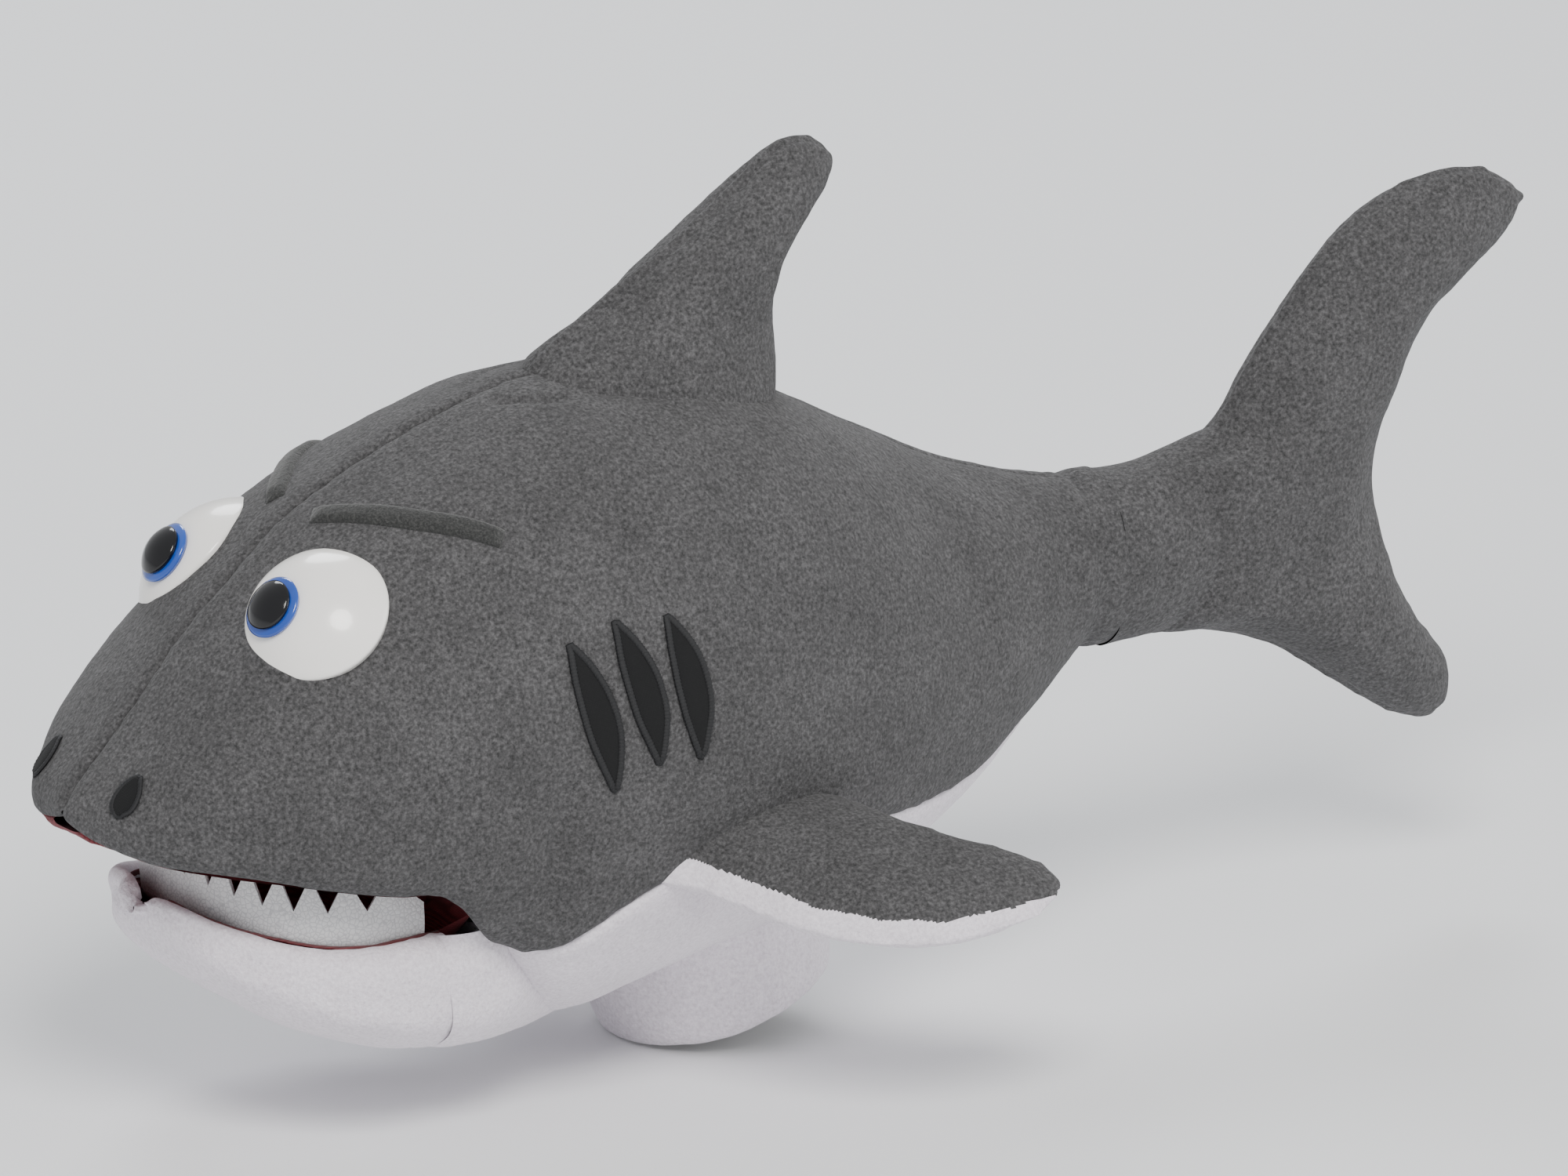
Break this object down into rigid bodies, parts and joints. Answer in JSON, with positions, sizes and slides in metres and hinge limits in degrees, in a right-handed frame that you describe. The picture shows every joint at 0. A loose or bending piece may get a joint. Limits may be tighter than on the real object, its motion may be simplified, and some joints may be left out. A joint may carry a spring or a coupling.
{
  "type": "shark_hand_puppet",
  "caption": "Grey and white plush shark hand puppet with a moving lower jaw, leatherette teeth, plastic eyes, stuffed fins and tail, and a sleeve opening underneath",
  "frame": {"origin": "centre of the sleeve's opening, where the hand goes in", "axes": "the nose points to -X and the tail to +X, the shark's left side faces -Y, its back faces +Z; the shape mirrors across the plane y = 0"},
  "size_m": [0.5051, 0.2678, 0.2679],
  "materials": {
    "grey_fleece": "short-pile fleece, mottled grey",
    "white_plush": "short white plush",
    "red_lining": "dark red woven lining",
    "white_leatherette": "fine grained leatherette",
    "black_felt": "black woven applique with a stitched edge",
    "charcoal_fleece": "charcoal fleece strip",
    "stuffing": "polyester fibre",
    "glove_cotton": "thin cotton lining",
    "eye_white_plastic": "glossy off-white",
    "eye_blue_plastic": "glossy blue",
    "eye_black_plastic": "glossy black",
    "washer_plastic": "moulded"
  },
  "bodies": {
    "body": {"left_side_panel": "grey_fleece", "right_side_panel": "grey_fleece", "belly_panel": "white_plush", "sleeve_cuff": "white_plush", "throat_gusset": "white_plush", "palate_lining": "red_lining", "left_head_filling": "stuffing", "right_head_filling": "stuffing", "left_trunk_filling": "stuffing", "right_trunk_filling": "stuffing", "glove_lining": "glove_cotton", "thumb_passage_lining": "glove_cotton", "left_eye_white": "eye_white_plastic", "left_iris": "eye_blue_plastic", "left_pupil": "eye_black_plastic", "left_eye_washer": "washer_plastic", "left_brow": "charcoal_fleece", "left_nostril": "black_felt", "left_gill_1": "black_felt", "left_gill_2": "black_felt", "left_gill_3": "black_felt", "right_eye_white": "eye_white_plastic", "right_iris": "eye_blue_plastic", "right_pupil": "eye_black_plastic", "right_eye_washer": "washer_plastic", "right_brow": "charcoal_fleece", "right_nostril": "black_felt", "right_gill_1": "black_felt", "right_gill_2": "black_felt", "right_gill_3": "black_felt"},
    "lower_jaw": {"lower_jaw_skin": "white_plush", "jaw_filling": "stuffing", "mouth_floor": "red_lining", "tooth_strip": "white_leatherette", "thumb_pocket": "glove_cotton"},
    "dorsal_fin": {"dorsal_filling": "stuffing", "dorsal_left_panel": "grey_fleece", "dorsal_right_panel": "grey_fleece"},
    "tail_stock": {"tail_stock_filling": "stuffing", "tail_stock_left_panel": "grey_fleece", "tail_stock_right_panel": "grey_fleece"},
    "tail_fin": {"tail_fin_filling": "stuffing", "tail_fin_left_panel": "grey_fleece", "tail_fin_right_panel": "grey_fleece"},
    "left_pectoral_fin": {"left_pectoral_filling": "stuffing", "left_pectoral_top": "grey_fleece", "left_pectoral_underside": "white_plush"},
    "right_pectoral_fin": {"right_pectoral_filling": "stuffing", "right_pectoral_top": "grey_fleece", "right_pectoral_underside": "white_plush"}
  },
  "joints": [
    {"name": "jaw_hinge", "type": "hinge", "parent": "body", "child": "lower_jaw", "pos_m": [-0.122, 0, 0.064], "axis": [0, -1, 0], "range_deg": [-8, 22], "stiffness_Nm_per_rad": 0.12, "deforming": ["throat_gusset"]},
    {"name": "dorsal_sway", "type": "hinge", "parent": "body", "child": "dorsal_fin", "pos_m": [-0.022, 0, 0.1925], "axis": [0.975, 0, -0.222], "range_deg": [-15, 15], "stiffness_Nm_per_rad": 0.1},
    {"name": "tail_stock_yaw", "type": "hinge", "parent": "body", "child": "tail_stock", "pos_m": [0.1188, 0, 0.111], "axis": [0, 0, 1], "range_deg": [-18, 18], "stiffness_Nm_per_rad": 0.15},
    {"name": "tail_fin_yaw", "type": "hinge", "parent": "tail_stock", "child": "tail_fin", "pos_m": [0.1439, 0, 0.111], "axis": [0, 0, 1], "range_deg": [-18, 18], "stiffness_Nm_per_rad": 0.12},
    {"name": "left_pectoral_flap", "type": "hinge", "parent": "body", "child": "left_pectoral_fin", "pos_m": [-0.0255, -0.0712, 0.0705], "axis": [-0.9696, -0.1035, -0.2219], "range_deg": [-15, 20], "stiffness_Nm_per_rad": 0.08},
    {"name": "right_pectoral_flap", "type": "hinge", "parent": "body", "child": "right_pectoral_fin", "pos_m": [-0.0255, 0.0712, 0.0705], "axis": [0.9696, -0.1035, 0.2219], "range_deg": [-15, 20], "stiffness_Nm_per_rad": 0.08}
  ]
}
